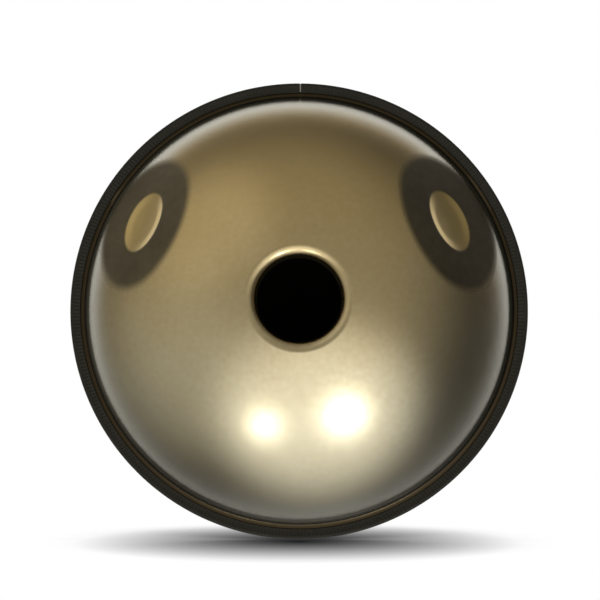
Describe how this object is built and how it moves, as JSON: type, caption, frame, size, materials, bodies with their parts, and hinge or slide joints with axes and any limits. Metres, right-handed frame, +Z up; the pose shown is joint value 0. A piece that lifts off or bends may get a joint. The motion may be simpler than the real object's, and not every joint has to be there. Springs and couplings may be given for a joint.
{
  "type": "handpan",
  "caption": "Handpan: domed steel shells bonded at a flanged rim with a rubber edge trim, dimpled note ovals and a turned-in round port underneath.",
  "frame": {"origin": "on the axis of the domes, level with the lowest ring of the port shoulder, on which the pan rests", "axes": "+Z up along the axis, from the port shell to the playing shell; -Y towards the joint of the edge trim and the two bottom notes"},
  "size_m": [0.5296, 0.5296, 0.2244],
  "materials": {
    "shell_steel": "satin, heat tinted bronze",
    "trim_rubber": "matt, ribbed",
    "carrier_steel": "plain",
    "bond": "cured adhesive"
  },
  "bodies": {
    "root": {"bottom_shell": "shell_steel", "top_shell": "shell_steel", "flange_bond": "bond", "rim_trim": "trim_rubber", "trim_carrier": "carrier_steel"}
  },
  "joints": []
}
